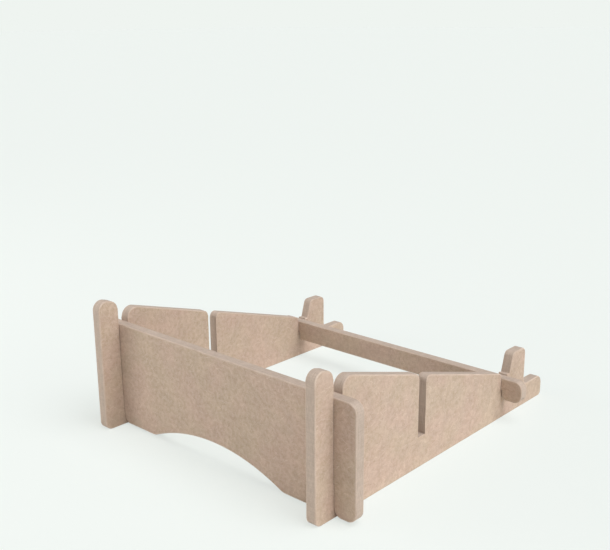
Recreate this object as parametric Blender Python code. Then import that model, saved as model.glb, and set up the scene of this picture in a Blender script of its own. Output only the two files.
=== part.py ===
# Laptop stand of four slotted boards. Two side panels carry the laptop on their sloped top edges,
# and two cross panels drop into slots in them and hold them upright, without a fastener.
# Metres, +Z up. The user sits on the -Y side. The origin is on the table, under the middle of the
# stand. Along a side panel, places are given as a distance from its rear end, because the slots
# and the stop are laid out from there.

import math

import bmesh
import bpy
from mathutils import Vector

# Board and slots
BOARD = 0.009                 # thickness of every board
FIT_GAP = 0.00025             # clearance on each side of a board in its slot
SEAT_GAP = 0.0003             # clearance between the two slot ends where boards cross
SLOT_WIDTH = BOARD + 2 * FIT_GAP
SLOT_FLOOR = 0.0263           # height of every slot's floor above the table
MOUTH_RADIUS = 0.005          # rounding of a slot's mouth in the sloped edge

# Side panels
SIDE_LENGTH = 0.319
SIDE_OUTER_WIDTH = 0.250      # over the outer faces of both side panels
SLOPE = math.radians(16.6)    # fall of the top edge towards the user
SLOPE_START = 0.1153          # height of the sloped line at the rear end
REAR_SLOT = 0.0241            # middle of the slot for the rear cross panel, from the rear end
SPARE_SLOT = 0.1255           # middle of the empty slot, which sets the laptop steeper
FRONT_SLOT = 0.2503           # middle of the slot for the front cross panel
REAR_TAB_RISE = 0.0027        # how far the tab behind the rear slot stands above the slope
REAR_TAB_RADIUS = 0.008
REAR_SHOULDER_RADIUS = 0.009  # the slope's end at the rear slot
HEEL_RADIUS = 0.0065          # lower corner at the rear end
STOP_FOOT = 0.259             # where the stop stands up from the slope
STOP_FRONT = 0.2857           # front edge of the stop
STOP_TOP = 0.0565             # height of the stop's top edge
STOP_REAR_RADIUS = 0.005
STOP_FRONT_RADIUS = 0.0055
STOP_FOOT_RADIUS = 0.001
TOE_HEIGHT = 0.020
TOE_RADIUS = 0.008            # upper corner of the toe
TOE_BOTTOM_RADIUS = 0.004
TOE_FILLET = 0.006            # between the stop's front edge and the toe

# Cross panels
CROSS_OVERHANG = 0.020        # past the outer face of each side panel
CROSS_RADIUS = 0.008          # outer corners
REAR_CROSS_BOTTOM = 0.002     # only the side panels stand on the table
REAR_CROSS_TOP = 0.0926
FRONT_CROSS_BOTTOM = 0.018
FRONT_CROSS_TOP = 0.0378
CROSS_MOUTH_RADIUS = 0.006    # rounding of the slots that straddle the side panels
ARCH_HEIGHT = 0.0167          # above the lower edge
ARCH_RADIUS = 0.175
ARCH_FOOT_RADIUS = 0.014      # blend from the arch to the flat feet

# Drawing and finish
ARC_SAG = 0.00001             # how far the facets of an arc may cut inside it
SMOOTH_ANGLE = math.radians(30)
MDF_ROUGHNESS = 0.85

SIDE_CENTRE = (SIDE_OUTER_WIDTH - BOARD) / 2
CROSS_HALF = SIDE_OUTER_WIDTH / 2 + CROSS_OVERHANG


def clear_scene():
    for item in list(bpy.data.objects):
        bpy.data.objects.remove(item, do_unlink=True)


def linear(channel):
    """One sRGB channel, 0 to 255, as a linear value."""
    value = channel / 255
    return value / 12.92 if value <= 0.04045 else ((value + 0.055) / 1.055) ** 2.4


def mdf(name, red, green, blue):
    """Raw medium-density fibreboard: matt, warm beige, no metal."""
    material = bpy.data.materials.new(name)
    material.use_nodes = True
    shader = material.node_tree.nodes["Principled BSDF"]
    shader.inputs["Base Color"].default_value = (linear(red), linear(green), linear(blue), 1)
    shader.inputs["Roughness"].default_value = MDF_ROUGHNESS
    shader.inputs["Metallic"].default_value = 0
    return material


def arc(centre, radius, start, end):
    """Points of an arc from one angle to the other, both ends included."""
    longest_step = 2 * math.acos(1 - ARC_SAG / radius)
    count = max(2, math.ceil(abs(end - start) / longest_step))
    angles = [start + (end - start) * step / count for step in range(count + 1)]
    return [centre + radius * Vector((math.cos(angle), math.sin(angle))) for angle in angles]


def rounded(corners):
    """An outline from (across, height, radius) corners, with an arc at each radius above 0."""
    places = [Vector(corner[:2]) for corner in corners]
    outline = []
    for index, (place, corner) in enumerate(zip(places, corners)):
        radius = corner[2]
        if radius == 0:
            outline.append(place)
            continue
        before = (places[index - 1] - place).normalized()
        after = (places[(index + 1) % len(places)] - place).normalized()
        half = before.angle(after) / 2
        centre = place + (before + after).normalized() * (radius / math.sin(half))
        first = place + before * (radius / math.tan(half)) - centre
        last = place + after * (radius / math.tan(half)) - centre
        start = math.atan2(first.y, first.x)
        turn = math.remainder(math.atan2(last.y, last.x) - start, math.tau)
        outline += arc(centre, radius, start, start + turn)
    return outline


def slope_height(distance):
    """Height of the sloped top edge at a distance from the rear end."""
    return SLOPE_START - distance * math.tan(SLOPE)


def slot(middle, rear_radius, front_radius, rear_rise=0):
    """Corners of an open slot in the sloped edge, from the rear mouth to the front mouth."""
    rear = middle - SLOT_WIDTH / 2
    front = middle + SLOT_WIDTH / 2
    return [
        (rear, slope_height(rear) + rear_rise, rear_radius),
        (rear, SLOT_FLOOR, 0),
        (front, SLOT_FLOOR, 0),
        (front, slope_height(front), front_radius),
    ]


def side_outline():
    """A side panel seen from the side, as (y, z)."""
    stop_foot = slope_height(STOP_FOOT)
    stop_lean = (STOP_TOP - stop_foot) * math.tan(SLOPE)  # the stop is square to the slope
    corners = [
        (0, 0, HEEL_RADIUS),
        (0, SLOPE_START + REAR_TAB_RISE, REAR_TAB_RADIUS),
        *slot(REAR_SLOT, REAR_TAB_RADIUS, REAR_SHOULDER_RADIUS, REAR_TAB_RISE),
        *slot(SPARE_SLOT, MOUTH_RADIUS, MOUTH_RADIUS),
        *slot(FRONT_SLOT, MOUTH_RADIUS, STOP_FOOT_RADIUS),
        (STOP_FOOT, stop_foot, STOP_FOOT_RADIUS),
        (STOP_FOOT + stop_lean, STOP_TOP, STOP_REAR_RADIUS),
        (STOP_FRONT, STOP_TOP, STOP_FRONT_RADIUS),
        (STOP_FRONT, TOE_HEIGHT, TOE_FILLET),
        (SIDE_LENGTH, TOE_HEIGHT, TOE_RADIUS),
        (SIDE_LENGTH, 0, TOE_BOTTOM_RADIUS),
    ]
    return rounded([(y_at(distance), height, radius) for distance, height, radius in corners])


def y_at(distance):
    """The y of a place given by its distance from the rear end."""
    return SIDE_LENGTH / 2 - distance


def notch(middle, bottom, top):
    """Corners of the slot that straddles a side panel, from -X to +X."""
    left = middle - SLOT_WIDTH / 2
    right = middle + SLOT_WIDTH / 2
    return [
        (left, bottom, CROSS_MOUTH_RADIUS),
        (left, top, 0),
        (right, top, 0),
        (right, bottom, CROSS_MOUTH_RADIUS),
    ]


def arch():
    """The hollow under the rear cross panel: a wide arc that runs into two flat feet."""
    reach = ARCH_RADIUS + ARCH_FOOT_RADIUS
    foot_x = math.sqrt(reach ** 2 - (reach - ARCH_HEIGHT) ** 2)
    lean = math.asin(foot_x / reach)
    up = math.pi / 2
    left = arc(Vector((-foot_x, ARCH_FOOT_RADIUS)), ARCH_FOOT_RADIUS, -up, -up + lean)
    crown = arc(Vector((0, ARCH_HEIGHT - ARCH_RADIUS)), ARCH_RADIUS, up + lean, up - lean)
    right = arc(Vector((foot_x, ARCH_FOOT_RADIUS)), ARCH_FOOT_RADIUS, -up - lean, -up)
    return [(*point, 0) for point in left + crown[1:-1] + right]


def cross_outline(bottom, top, hollow):
    """A cross panel seen from the front, as (x, z above its lower edge)."""
    height = top - bottom
    notch_top = SLOT_FLOOR + SEAT_GAP - bottom
    corners = [
        (-CROSS_HALF, height, CROSS_RADIUS),
        (-CROSS_HALF, 0, CROSS_RADIUS),
        *notch(-SIDE_CENTRE, 0, notch_top),
        *hollow,
        *notch(SIDE_CENTRE, 0, notch_top),
        (CROSS_HALF, 0, CROSS_RADIUS),
        (CROSS_HALF, height, CROSS_RADIUS),
    ]
    return rounded(corners)


def board(name, outline, across, place, material):
    """A board of the given outline. across is its thickness direction, X or Y."""
    shift = across * (BOARD / 2)
    plane = Vector((0, 1, 0)) if across.x else Vector((1, 0, 0))
    shape = bmesh.new()
    rim = [shape.verts.new(plane * point.x + Vector((0, 0, point.y)) - shift) for point in outline]
    face = shape.faces.new(rim)
    swept = bmesh.ops.extrude_face_region(shape, geom=[face], use_keep_orig=True)
    moved = [item for item in swept["geom"] if isinstance(item, bmesh.types.BMVert)]
    bmesh.ops.translate(shape, verts=moved, vec=across * BOARD)
    bmesh.ops.recalc_face_normals(shape, faces=shape.faces)
    mesh = bpy.data.meshes.new(name)
    shape.to_mesh(mesh)
    shape.free()
    mesh.shade_smooth()
    mesh.set_sharp_from_angle(angle=SMOOTH_ANGLE)
    mesh.materials.append(material)
    item = bpy.data.objects.new(name, mesh)
    item.location = place
    bpy.context.scene.collection.objects.link(item)
    return item


def side_panels():
    """The user's left panel is at -X."""
    for name, side, colour in (
        ("side_panel_left", -1, (204, 183, 165)),
        ("side_panel_right", 1, (202, 181, 162)),
    ):
        place = Vector((side * SIDE_CENTRE, 0, 0))
        board(name, side_outline(), Vector((1, 0, 0)), place, mdf(name + "_mdf", *colour))


def cross_panels():
    """Both drop straight down into the slots, so each origin is on its own lower edge."""
    for name, middle, bottom, top, hollow, colour in (
        ("rear_cross_panel", REAR_SLOT, REAR_CROSS_BOTTOM, REAR_CROSS_TOP, arch(), (198, 176, 158)),
        ("front_cross_panel", FRONT_SLOT, FRONT_CROSS_BOTTOM, FRONT_CROSS_TOP, [], (200, 178, 160)),
    ):
        outline = cross_outline(bottom, top, hollow)
        place = Vector((0, y_at(middle), bottom))
        board(name, outline, Vector((0, 1, 0)), place, mdf(name + "_mdf", *colour))


clear_scene()
side_panels()
cross_panels()
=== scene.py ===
import math

import bmesh
import bpy
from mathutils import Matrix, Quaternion, Vector


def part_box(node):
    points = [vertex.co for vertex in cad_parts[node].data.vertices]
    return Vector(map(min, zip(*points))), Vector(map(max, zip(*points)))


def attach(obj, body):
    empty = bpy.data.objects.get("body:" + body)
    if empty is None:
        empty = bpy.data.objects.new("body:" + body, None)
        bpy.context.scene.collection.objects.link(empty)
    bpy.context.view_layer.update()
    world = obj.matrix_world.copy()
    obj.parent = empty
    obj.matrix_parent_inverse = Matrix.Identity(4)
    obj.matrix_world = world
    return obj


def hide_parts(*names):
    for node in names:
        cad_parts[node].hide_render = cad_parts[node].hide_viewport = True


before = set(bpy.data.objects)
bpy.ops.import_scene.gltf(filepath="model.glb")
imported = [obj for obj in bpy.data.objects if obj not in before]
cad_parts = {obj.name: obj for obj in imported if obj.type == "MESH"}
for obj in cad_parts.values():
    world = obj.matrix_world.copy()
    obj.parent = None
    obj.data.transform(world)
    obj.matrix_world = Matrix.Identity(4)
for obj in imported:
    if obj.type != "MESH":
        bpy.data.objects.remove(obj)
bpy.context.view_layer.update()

mm = 0.001
noiseLow, noiseMiddle, noiseHigh = 0.3, 0.5, 0.7    # a noise texture seldom leaves this range
reliefStrength = 0.6


def toLinear(hexColour):
    channels = [int(hexColour[i:i + 2], 16) / 255 for i in (1, 3, 5)]
    return tuple(c / 12.92 if c <= 0.04045 else ((c + 0.055) / 1.055) ** 2.4 for c in channels) + (1,)


# Adds one node; a node or socket among the inputs is linked, anything else is set.
# A Mix node takes its two colours at sockets 6 and 7, and gives the result at output 2.
def addNode(tree, kind, inputs=None, **settings):
    node = tree.nodes.new(kind)
    for name, value in settings.items():
        setattr(node, name, value)
    for name, value in (inputs or {}).items():
        if isinstance(value, bpy.types.Node):
            value = value.outputs[0]
        if isinstance(value, bpy.types.NodeSocket):
            tree.links.new(value, node.inputs[name])
        else:
            node.inputs[name].default_value = value
    return node


# What every surface of the board shares: cellulose and resin, matt, without metal
fibreboard = {
    "ior": 1.47,
    "specular": 0.3,                             # open fibres scatter most of the gloss
    "sheen": 0.06, "sheenRoughness": 0.6,        # loose fibre ends
}


def newFibreboard(name):
    material = bpy.data.materials.new(name)
    material.use_nodes = True
    tree = material.node_tree
    shader = tree.nodes["Principled BSDF"]
    shader.inputs["Metallic"].default_value = 0
    shader.inputs["IOR"].default_value = fibreboard["ior"]
    shader.inputs["Specular IOR Level"].default_value = fibreboard["specular"]
    shader.inputs["Sheen Weight"].default_value = fibreboard["sheen"]
    shader.inputs["Sheen Roughness"].default_value = fibreboard["sheenRoughness"]
    return material, tree, shader


# Millimetres along the board, up it, and out from its middle plane
def measuredPlace(tree, board):
    corner = addNode(tree, "ShaderNodeTexCoord").outputs["Object"]
    apart = addNode(tree, "ShaderNodeSeparateXYZ", {"Vector": corner})
    along, through = ("Y", "X") if board["across"] == "x" else ("X", "Y")
    turned = addNode(tree, "ShaderNodeCombineXYZ", {
        "X": apart.outputs[along], "Y": apart.outputs["Z"], "Z": apart.outputs[through]})
    return addNode(tree, "ShaderNodeMapping", {
        "Vector": turned, "Location": (0, 0, -board["middle"] / mm), "Scale": (1 / mm, 1 / mm, 1 / mm)})


# The same, moved to another part of every pattern, so that no two boards match
def patternPlace(tree, board, measured):
    return addNode(tree, "ShaderNodeMapping", {"Vector": measured, "Location": board["patternShift"]})


# Medium-density fibreboard as it leaves the press: sanded faces of pale and brown fibre.
# Real fibres are 0.03 mm thick; these are drawn ten times as coarse, so that they show.
faceFinish = {
    "pale": "#D0BAA8", "brown": "#BAA08C",       # fine mottle
    "rosy": "#CDB0A0", "sandy": "#C7B39B",       # slow drift from one fibre batch to the next
    "batchLow": 0.36, "batchHigh": 0.64, "mottleShare": 0.4,
    "paleFibre": "#E4D5C6", "brownFibre": "#92755F",
    "driftSize": 34.0, "cloudSize": 13.0, "mottleSize": 3.6, "grainSize": 0.8,    # mm
    "cloudShade": 0.045, "grainShade": 0.04,     # how much lighter and darker they make the face
    "fibres": [                                  # mm
        {"spacing": 5.5, "length": 6.5, "width": 0.30, "colour": "paleFibre", "strength": 0.44},
        {"spacing": 3.2, "length": 3.4, "width": 0.22, "colour": "paleFibre", "strength": 0.42},
        {"spacing": 4.4, "length": 3.8, "width": 0.26, "colour": "brownFibre", "strength": 0.35},
        {"spacing": 1.7, "length": 1.6, "width": 0.14, "colour": "paleFibre", "strength": 0.38},
    ],
    "emptyShare": 0.2, "fullShare": 0.8,         # cells with no fibre, and where the boldest ones begin
    "fibreBend": 0.8, "fibreBendSize": 3.5,      # mm
    "roughLow": 0.78, "roughHigh": 0.94,
    "reliefDepth": 0.06,                         # mm
}


# One short fibre in each cell of a scatter, turned its own way; some cells stay empty.
def scatterFibres(tree, place, fibre):
    cells = addNode(tree, "ShaderNodeTexVoronoi", {
        "Vector": place, "Scale": 1 / fibre["spacing"]}, voronoi_dimensions="2D")
    own = addNode(tree, "ShaderNodeSeparateColor", {"Color": cells.outputs["Color"]})
    fromMiddle = addNode(tree, "ShaderNodeVectorMath", {
        0: place, 1: cells.outputs["Position"]}, operation="SUBTRACT")
    angle = addNode(tree, "ShaderNodeMath", {0: own.outputs[0], 1: math.tau}, operation="MULTIPLY")
    turned = addNode(tree, "ShaderNodeVectorRotate", {
        "Vector": fromMiddle, "Angle": angle}, rotation_type="Z_AXIS")
    sizes = addNode(tree, "ShaderNodeVectorMath", {0: turned}, operation="ABSOLUTE")
    apart = addNode(tree, "ShaderNodeSeparateXYZ", {"Vector": sizes})
    alongIt = addNode(tree, "ShaderNodeMapRange", {
        "Value": apart.outputs["X"], "From Min": fibre["length"] / 2, "From Max": fibre["length"] / 4})
    acrossIt = addNode(tree, "ShaderNodeMapRange", {
        "Value": apart.outputs["Y"], "From Min": fibre["width"], "From Max": fibre["width"] / 4})
    line = addNode(tree, "ShaderNodeMath", {0: alongIt, 1: acrossIt}, operation="MULTIPLY")
    boldness = addNode(tree, "ShaderNodeMapRange", {
        "Value": own.outputs[1], "From Min": faceFinish["emptyShare"], "From Max": faceFinish["fullShare"]})
    return addNode(tree, "ShaderNodeMath", {0: line, 1: boldness}, operation="MULTIPLY")


# Sanded face: matt, softly mottled, with short fibres lying every way
def sandedFace(name, board):
    finish = faceFinish
    material, tree, shader = newFibreboard("sandedFibreboardFace_" + name)
    place = patternPlace(tree, board, measuredPlace(tree, board))
    drift = addNode(tree, "ShaderNodeTexNoise", {
        "Vector": place, "Scale": 1 / finish["driftSize"], "Detail": 2})
    cloud = addNode(tree, "ShaderNodeTexNoise", {
        "Vector": place, "Scale": 1 / finish["cloudSize"], "Detail": 2})
    mottle = addNode(tree, "ShaderNodeTexNoise", {
        "Vector": place, "Scale": 1 / finish["mottleSize"], "Detail": 4, "Roughness": 0.6})
    grain = addNode(tree, "ShaderNodeTexNoise", {
        "Vector": place, "Scale": 1 / finish["grainSize"], "Detail": 2})
    batch = addNode(tree, "ShaderNodeMapRange", {
        "Value": drift, "From Min": finish["batchLow"], "From Max": finish["batchHigh"]},
        interpolation_type="SMOOTHSTEP")
    batchColour = addNode(tree, "ShaderNodeMix", {
        0: batch, 6: toLinear(finish["rosy"]), 7: toLinear(finish["sandy"])}, data_type="RGBA")
    spread = addNode(tree, "ShaderNodeMapRange", {
        "Value": mottle, "From Min": noiseLow, "From Max": noiseHigh}, interpolation_type="SMOOTHSTEP")
    mottled = addNode(tree, "ShaderNodeMix", {
        0: spread, 6: toLinear(finish["brown"]), 7: toLinear(finish["pale"])}, data_type="RGBA")
    colour = addNode(tree, "ShaderNodeMix", {
        0: finish["mottleShare"], 6: mottled.outputs[2], 7: batchColour.outputs[2]}, data_type="RGBA")

    bend = addNode(tree, "ShaderNodeTexNoise", {
        "Vector": place, "Scale": 1 / finish["fibreBendSize"], "Detail": 0})
    bendAway = addNode(tree, "ShaderNodeVectorMath", {
        0: bend.outputs["Color"], 1: (noiseMiddle,) * 3}, operation="SUBTRACT")
    bent = addNode(tree, "ShaderNodeVectorMath", {
        0: bendAway, 1: (finish["fibreBend"],) * 3, 2: place}, operation="MULTIPLY_ADD")
    raised = grain
    for fibre in finish["fibres"]:
        line = scatterFibres(tree, bent, fibre)
        share = addNode(tree, "ShaderNodeMath", {0: line, 1: fibre["strength"]}, operation="MULTIPLY")
        colour = addNode(tree, "ShaderNodeMix", {
            0: share, 6: colour.outputs[2], 7: toLinear(finish[fibre["colour"]])}, data_type="RGBA")
        raised = addNode(tree, "ShaderNodeMath", {0: raised, 1: share}, operation="ADD")

    fine = addNode(tree, "ShaderNodeMapRange", {
        "Value": grain, "From Min": noiseLow, "From Max": noiseHigh,
        "To Min": 1 - finish["grainShade"], "To Max": 1 + finish["grainShade"]})
    broad = addNode(tree, "ShaderNodeMapRange", {
        "Value": cloud, "From Min": noiseLow, "From Max": noiseHigh,
        "To Min": 1 - finish["cloudShade"] - board["tone"],
        "To Max": 1 + finish["cloudShade"] - board["tone"]})
    shade = addNode(tree, "ShaderNodeMath", {0: fine, 1: broad}, operation="MULTIPLY")
    shaded = addNode(tree, "ShaderNodeVectorMath", {
        0: colour.outputs[2], "Scale": shade}, operation="SCALE")
    gloss = addNode(tree, "ShaderNodeMapRange", {
        "Value": mottle, "From Min": noiseLow, "From Max": noiseHigh,
        "To Min": finish["roughHigh"], "To Max": finish["roughLow"]})
    relief = addNode(tree, "ShaderNodeBump", {
        "Strength": reliefStrength, "Distance": finish["reliefDepth"] * mm, "Height": raised})
    tree.links.new(shaded.outputs[0], shader.inputs["Base Color"])
    tree.links.new(gloss.outputs[0], shader.inputs["Roughness"])
    tree.links.new(relief.outputs[0], shader.inputs["Normal"])
    return material


# The router's cut through the board: a greyer, looser core between two denser skins
edgeFinish = {
    "core": "#C4B1A2", "skin": "#AD9583", "pale": "#D2C1B3", "brown": "#A58C79",
    "halfThickness": 4.5, "skinDepth": 1.5,      # mm
    "layerHeight": 0.5, "layerLength": 7.0,      # mm, pressed layers that run along the edge
    "layerMiddle": 0.5, "layerReach": 0.25, "layerShare": 0.5,
    "toothWidth": 1.3, "toothLength": 14.0,      # mm, faint ridges left across it by the cutter
    "speckSize": 0.7, "cloudSize": 16.0,         # mm
    "toothShade": 0.045, "speckShade": 0.06, "cloudShade": 0.03,
    "roughLow": 0.86, "roughHigh": 0.97,
    "speckRelief": 0.7, "toothRelief": 0.5,      # beside the layers' relief
    "reliefDepth": 0.09,                         # mm
}


# Routed edge: pressed layers between two darker skins, finely speckled, with faint cutter marks
def routedEdge(name, board):
    finish = edgeFinish
    material, tree, shader = newFibreboard("routedFibreboardEdge_" + name)
    measured = measuredPlace(tree, board)
    place = patternPlace(tree, board, measured)
    depth = addNode(tree, "ShaderNodeVectorMath", {0: measured}, operation="ABSOLUTE")
    fromMiddle = addNode(tree, "ShaderNodeSeparateXYZ", {"Vector": depth}).outputs["Z"]
    skin = addNode(tree, "ShaderNodeMapRange", {
        "Value": fromMiddle, "From Min": finish["halfThickness"] - finish["skinDepth"],
        "From Max": finish["halfThickness"]}, interpolation_type="SMOOTHSTEP")
    perLayer = (1 / finish["layerLength"], 1 / finish["layerLength"], 1 / finish["layerHeight"])
    flattened = addNode(tree, "ShaderNodeVectorMath", {0: place, 1: perLayer}, operation="MULTIPLY")
    layers = addNode(tree, "ShaderNodeTexNoise", {"Vector": flattened, "Scale": 1, "Detail": 3})
    perTooth = (1 / finish["toothWidth"], 1 / finish["toothWidth"], 1 / finish["toothLength"])
    stretched = addNode(tree, "ShaderNodeVectorMath", {0: place, 1: perTooth}, operation="MULTIPLY")
    teeth = addNode(tree, "ShaderNodeTexNoise", {"Vector": stretched, "Scale": 1, "Detail": 2})
    speck = addNode(tree, "ShaderNodeTexNoise", {
        "Vector": place, "Scale": 1 / finish["speckSize"], "Detail": 2})
    cloud = addNode(tree, "ShaderNodeTexNoise", {
        "Vector": place, "Scale": 1 / finish["cloudSize"], "Detail": 2})

    body = addNode(tree, "ShaderNodeMix", {
        0: skin, 6: toLinear(finish["core"]), 7: toLinear(finish["skin"])}, data_type="RGBA")
    paleShare = addNode(tree, "ShaderNodeMapRange", {
        "Value": layers, "From Min": finish["layerMiddle"],
        "From Max": finish["layerMiddle"] + finish["layerReach"], "To Max": finish["layerShare"]})
    withPale = addNode(tree, "ShaderNodeMix", {
        0: paleShare, 6: body.outputs[2], 7: toLinear(finish["pale"])}, data_type="RGBA")
    brownShare = addNode(tree, "ShaderNodeMapRange", {
        "Value": layers, "From Min": finish["layerMiddle"],
        "From Max": finish["layerMiddle"] - finish["layerReach"], "To Max": finish["layerShare"]})
    colour = addNode(tree, "ShaderNodeMix", {
        0: brownShare, 6: withPale.outputs[2], 7: toLinear(finish["brown"])}, data_type="RGBA")

    ridged = addNode(tree, "ShaderNodeMapRange", {
        "Value": teeth, "From Min": noiseLow, "From Max": noiseHigh,
        "To Min": 1 - finish["toothShade"], "To Max": 1 + finish["toothShade"]})
    fine = addNode(tree, "ShaderNodeMapRange", {
        "Value": speck, "From Min": noiseLow, "From Max": noiseHigh,
        "To Min": 1 - finish["speckShade"], "To Max": 1 + finish["speckShade"]})
    broad = addNode(tree, "ShaderNodeMapRange", {
        "Value": cloud, "From Min": noiseLow, "From Max": noiseHigh,
        "To Min": 1 - finish["cloudShade"] - board["tone"],
        "To Max": 1 + finish["cloudShade"] - board["tone"]})
    close = addNode(tree, "ShaderNodeMath", {0: ridged, 1: fine}, operation="MULTIPLY")
    shade = addNode(tree, "ShaderNodeMath", {0: close, 1: broad}, operation="MULTIPLY")
    shaded = addNode(tree, "ShaderNodeVectorMath", {
        0: colour.outputs[2], "Scale": shade}, operation="SCALE")
    gloss = addNode(tree, "ShaderNodeMapRange", {
        "Value": layers, "From Min": noiseLow, "From Max": noiseHigh,
        "To Min": finish["roughLow"], "To Max": finish["roughHigh"]})
    rough = addNode(tree, "ShaderNodeMath", {
        0: speck, 1: finish["speckRelief"], 2: layers}, operation="MULTIPLY_ADD")
    raised = addNode(tree, "ShaderNodeMath", {
        0: teeth, 1: finish["toothRelief"], 2: rough}, operation="MULTIPLY_ADD")
    relief = addNode(tree, "ShaderNodeBump", {
        "Strength": reliefStrength, "Distance": finish["reliefDepth"] * mm, "Height": raised})
    tree.links.new(shaded.outputs[0], shader.inputs["Base Color"])
    tree.links.new(gloss.outputs[0], shader.inputs["Roughness"])
    tree.links.new(relief.outputs[0], shader.inputs["Normal"])
    return material


# The sanded rounding between the two, rubbed smoother; its paler colour is partly sanding wear and partly a
# painted highlight along the rounded edge
arrisFinishWithPaintedHighlight = {
    # both paler than the face colours: partly sanding wear, partly a painted highlight along the arris
    "pale": "#D6C2B2", "brown": "#C5AE9C",
    "speckSize": 0.8, "wearSize": 12.0,          # mm
    "rubbedLow": 0.75, "rubbedHigh": 1.25,       # of speck and wear added up
    "roughLow": 0.64, "roughHigh": 0.82,
    "reliefDepth": 0.03,                         # mm
}


# Sanded arris: the rounding rubbed smooth by hand, slightly paler than the board, partly from sanding and
# partly as a painted highlight
def sandedArrisWithPaintedHighlight(name, board):
    finish = arrisFinishWithPaintedHighlight
    material, tree, shader = newFibreboard("sandedArrisWithPaintedHighlight_" + name)
    place = patternPlace(tree, board, measuredPlace(tree, board))
    speck = addNode(tree, "ShaderNodeTexNoise", {
        "Vector": place, "Scale": 1 / finish["speckSize"], "Detail": 3})
    wear = addNode(tree, "ShaderNodeTexNoise", {
        "Vector": place, "Scale": 1 / finish["wearSize"], "Detail": 2})
    both = addNode(tree, "ShaderNodeMath", {0: speck, 1: wear}, operation="ADD")
    rubbed = addNode(tree, "ShaderNodeMapRange", {
        "Value": both, "From Min": finish["rubbedLow"], "From Max": finish["rubbedHigh"]})
    # the paler arris colour is partly a painted highlight where the rounded edge would catch the light
    colour = addNode(tree, "ShaderNodeMix", {
        0: rubbed, 6: toLinear(finish["brown"]), 7: toLinear(finish["pale"])}, data_type="RGBA")
    shaded = addNode(tree, "ShaderNodeVectorMath", {
        0: colour.outputs[2], "Scale": 1 - board["tone"]}, operation="SCALE")
    gloss = addNode(tree, "ShaderNodeMapRange", {
        "Value": wear, "From Min": noiseLow, "From Max": noiseHigh,
        "To Min": finish["roughHigh"], "To Max": finish["roughLow"]})
    relief = addNode(tree, "ShaderNodeBump", {
        "Strength": reliefStrength, "Distance": finish["reliefDepth"] * mm, "Height": speck})
    tree.links.new(shaded.outputs[0], shader.inputs["Base Color"])
    tree.links.new(gloss.outputs[0], shader.inputs["Roughness"])
    tree.links.new(relief.outputs[0], shader.inputs["Normal"])
    return material


# What each board replaces, the body it moves with, where it lies in the patterns (mm), and how much
# darker it is. cutBoard adds the place of the board's middle plane, read from the frame.
boards = {
    "sidePanelLeft": {
        "node": "side_panel_left", "body": "side_frame", "slot": "side_board", "across": "x",
        "patternShift": (113, 271, 42), "tone": 0.0,
    },
    "sidePanelRight": {
        "node": "side_panel_right", "body": "side_frame", "slot": "side_board", "across": "x",
        "patternShift": (587, 134, 391), "tone": 0.03,
    },
    "rearCrossPanel": {
        "node": "rear_cross_panel", "body": "rear_cross", "slot": "cross_board", "across": "y",
        "patternShift": (302, 498, 733), "tone": 0.05,
    },
    "frontCrossPanel": {
        "node": "front_cross_panel", "body": "front_cross", "slot": "cross_board", "across": "y",
        "patternShift": (845, 67, 219), "tone": 0.02,
    },
}

# How the boards were cut and sanded
cutting = {
    "arris": 0.9 * mm,             # hand-sanded rounding along both faces
    "arrisSteps": 4,
    "slotShare": 0.3,              # sandpaper hardly reaches into the slots, so less is rounded there
    "slotReach": 1.5,              # times the arris, past its length at a slot's corner
    "slotWidest": 10 * mm,
    "slotShortest": 12 * mm,
    "weldDistance": 0.002 * mm,
    "flatAngle": math.radians(0.2),
    "smoothAngle": math.radians(32),
    "faceLean": 0.999,             # a face's normal along the thickness is more than this
    "edgeLean": 0.001,             # and a cut edge's is less than this
}


# Pairs of straight upright walls that face each other closely enough to be a slot.
# A wall is its place along the board and its lowest and highest point, to 0.01 mm.
def findSlots(arrises, along):
    walls = set()
    for edge in arrises:
        low, high = sorted((vert.co.z, vert.co[along]) for vert in edge.verts)
        upright = abs(high[1] - low[1]) < cutting["weldDistance"]
        if upright and high[0] - low[0] > cutting["slotShortest"]:
            walls.add((round(low[1], 5), round(low[0], 5), round(high[0], 5)))
    walls = sorted(walls)
    return [pair for pair in zip(walls, walls[1:]) if pair[1][0] - pair[0][0] < cutting["slotWidest"]]


# Draws the rounding back towards the walls and the floor of each slot.
def sharpenSlots(shape, board, slots, axis, half):
    along = 1 - axis
    opensUp = board["across"] == "x"    # the cross panels' slots open downwards
    back = 1 - cutting["slotShare"]
    for vert in shape.verts:
        for left, right in slots:
            place, height = vert.co[along], vert.co.z
            wallLow, wallHigh = min(left, right, key=lambda wall: abs(wall[0] - place))[1:]
            pastMouth = height - wallHigh if opensUp else wallLow - height
            if pastMouth > cutting["weldDistance"]:
                continue
            nearPlace = min(max(place, left[0]), right[0])
            nearHeight = max(height, wallLow) if opensUp else min(height, wallHigh)
            if math.hypot(place - nearPlace, height - nearHeight) > cutting["slotReach"] * cutting["arris"]:
                continue
            vert.co[along] += (nearPlace - place) * back
            vert.co.z += (nearHeight - height) * back
            out = vert.co[axis] - board["middle"]
            vert.co[axis] += math.copysign((half - abs(out)) * back, out)
            break


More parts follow.
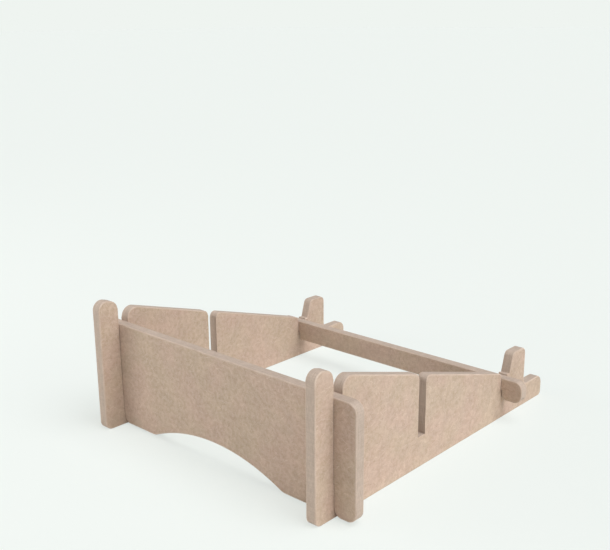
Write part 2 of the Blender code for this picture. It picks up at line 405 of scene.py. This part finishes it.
# The board's own outline from the frame, with its arrises rounded over
def cutBoard(name, board):
    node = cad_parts[board["node"]]
    low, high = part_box(board["node"])
    axis = 0 if board["across"] == "x" else 1
    board["middle"] = (low[axis] + high[axis]) / 2
    shape = bmesh.new()
    shape.from_mesh(node.data)
    bmesh.ops.remove_doubles(shape, verts=shape.verts, dist=cutting["weldDistance"])
    bmesh.ops.dissolve_limit(shape, angle_limit=cutting["flatAngle"], use_dissolve_boundaries=False,
                             verts=shape.verts, edges=shape.edges)

    def isFace(face):
        return abs(face.normal[axis]) > cutting["faceLean"]

    arrises = [edge for edge in shape.edges if sum(isFace(face) for face in edge.link_faces) == 1]
    slots = findSlots(arrises, 1 - axis)
    arrisCount = len(arrises)
    bmesh.ops.bevel(shape, geom=arrises, affect="EDGES", offset=cutting["arris"], offset_type="OFFSET",
                    segments=cutting["arrisSteps"], profile=0.5, material=-1, clamp_overlap=True)
    sharpenSlots(shape, board, slots, axis, (high[axis] - low[axis]) / 2)
    shape.normal_update()
    for face in shape.faces:
        lean = abs(face.normal[axis])    # the materials are added below in this order
        face.material_index = 0 if isFace(face) else 1 if lean < cutting["edgeLean"] else 2
        face.smooth = True
    mesh = bpy.data.meshes.new(name)
    shape.to_mesh(mesh)
    shape.free()
    mesh.set_sharp_from_angle(angle=cutting["smoothAngle"])
    piece = bpy.data.objects.new(name, mesh)
    bpy.context.scene.collection.objects.link(piece)
    for surface in (sandedFace, routedEdge, sandedArrisWithPaintedHighlight):
        mesh.materials.append(surface(name, board))
    level = piece.modifiers.new("flatFaces", "WEIGHTED_NORMAL")
    level.keep_sharp = True
    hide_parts(board["node"])
    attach(piece, board["body"])
    print("cut", name, len(mesh.polygons), "faces,", arrisCount, "arris edges,", len(slots), "slots")


# A white sheet: it bounces light on to the stand as matt paper does,
# and to the eye it is mostly lit from underneath, so that shadows on it stay faint.
floorFinish = {
    "bounce": "#F0F3F0", "seen": "#8A8D8B", "glow": "#F2F7F3", "glowStrength": 0.705,
    "size": 60.0, "drop": 0.05 * mm,             # just under the feet
}


def layFloor():
    shape = bmesh.new()
    bmesh.ops.create_grid(shape, x_segments=1, y_segments=1, size=floorFinish["size"] / 2)
    mesh = bpy.data.meshes.new("paleFloor")
    shape.to_mesh(mesh)
    shape.free()
    floor = bpy.data.objects.new("paleFloor", mesh)
    floor.location.z = -floorFinish["drop"]
    bpy.context.scene.collection.objects.link(floor)
    material = bpy.data.materials.new("mattPaper")
    material.use_nodes = True
    tree = material.node_tree
    tree.nodes.clear()
    bounce = addNode(tree, "ShaderNodeBsdfDiffuse", {"Color": toLinear(floorFinish["bounce"])})
    seen = addNode(tree, "ShaderNodeBsdfDiffuse", {"Color": toLinear(floorFinish["seen"])})
    glow = addNode(tree, "ShaderNodeEmission", {
        "Color": toLinear(floorFinish["glow"]), "Strength": floorFinish["glowStrength"]})
    lit = addNode(tree, "ShaderNodeAddShader", {0: seen, 1: glow})
    ray = addNode(tree, "ShaderNodeLightPath")
    choice = addNode(tree, "ShaderNodeMixShader", {0: ray.outputs["Is Camera Ray"], 1: bounce, 2: lit})
    addNode(tree, "ShaderNodeOutputMaterial", {"Surface": choice})
    mesh.materials.append(material)


# The pale air behind the floor: what the eye sees of it, and the little light it gives
backdrop = {"seen": "#EFF4F0", "light": "#F2F5F3", "strength": 0.10}

# Wide, far lamps; towards is the direction from the stand to the lamp.
suns = {
    "highKey": {"towards": (-0.42, -0.09, 0.90), "strength": 2.4, "spread": 50, "colour": "#FBFDFF"},
    "lowKey": {"towards": (-0.92, -0.20, 0.34), "strength": 1.05, "spread": 50, "colour": "#FFFCF9"},
    "lowFill": {"towards": (0.30, 0.90, 0.31), "strength": 0.58, "spread": 50, "colour": "#FFFCF9"},
}

# A lamp close enough that the far end of the rear cross panel is lit more than the near end
softbox = {
    "at": (0.95, 0.90, 0.48), "aimedAt": (0.0, 0.0, 0.05), "size": 0.7, "power": 4.7,
    "colour": "#FFFCF9",
}


def hangLamp(light, towards):
    lamp = bpy.data.objects.new(light.name, light)
    lamp.rotation_mode = "QUATERNION"
    lamp.rotation_quaternion = towards.to_track_quat("Z", "Y")
    bpy.context.scene.collection.objects.link(lamp)
    return lamp


def lightRoom():
    world = bpy.data.worlds.new("studioAir")
    bpy.context.scene.world = world
    world.use_nodes = True
    tree = world.node_tree
    tree.nodes.clear()
    seen = addNode(tree, "ShaderNodeBackground", {"Color": toLinear(backdrop["seen"]), "Strength": 1.0})
    soft = addNode(tree, "ShaderNodeBackground", {
        "Color": toLinear(backdrop["light"]), "Strength": backdrop["strength"]})
    ray = addNode(tree, "ShaderNodeLightPath")
    choice = addNode(tree, "ShaderNodeMixShader", {0: ray.outputs["Is Camera Ray"], 1: soft, 2: seen})
    addNode(tree, "ShaderNodeOutputWorld", {"Surface": choice})
    for name, sun in suns.items():
        light = bpy.data.lights.new(name, "SUN")
        light.energy = sun["strength"]
        light.angle = math.radians(sun["spread"])
        light.color = toLinear(sun["colour"])[:3]
        hangLamp(light, Vector(sun["towards"]))
    light = bpy.data.lights.new("softbox", "AREA")
    light.shape = "DISK"
    light.size = softbox["size"]
    light.energy = softbox["power"]
    light.color = toLinear(softbox["colour"])[:3]
    place = Vector(softbox["at"])
    hangLamp(light, place - Vector(softbox["aimedAt"])).location = place


# Azimuth 0 looks along +Y; angles are in degrees, and lens and sensor in millimetres.
camera = {
    "azimuth": 222.33, "elevation": 15.576, "roll": -0.459, "distance": 0.760,
    "target": (-0.0090, 0.0409, 0.1377), "lens": 54.11, "sensor": 36.0, "nearest": 0.01,
}


def placeCamera():
    lens = bpy.data.cameras.new("camera")
    lens.lens = camera["lens"]
    lens.sensor_width = camera["sensor"]
    lens.clip_start = camera["nearest"]
    view = bpy.data.objects.new("camera", lens)
    turn, rise = math.radians(camera["azimuth"]), math.radians(camera["elevation"])
    back = Vector((math.sin(turn) * math.cos(rise), -math.cos(turn) * math.cos(rise), math.sin(rise)))
    roll = Quaternion((0, 0, 1), math.radians(camera["roll"]))
    view.location = Vector(camera["target"]) + back * camera["distance"]
    view.rotation_mode = "QUATERNION"
    view.rotation_quaternion = back.to_track_quat("Z", "Y") @ roll
    bpy.context.scene.collection.objects.link(view)
    bpy.context.scene.camera = view


bpy.context.scene.view_settings.view_transform = "Standard"
placeCamera()
layFloor()
lightRoom()
print("stage ready")
for name, board in boards.items():
    cutBoard(name, board)
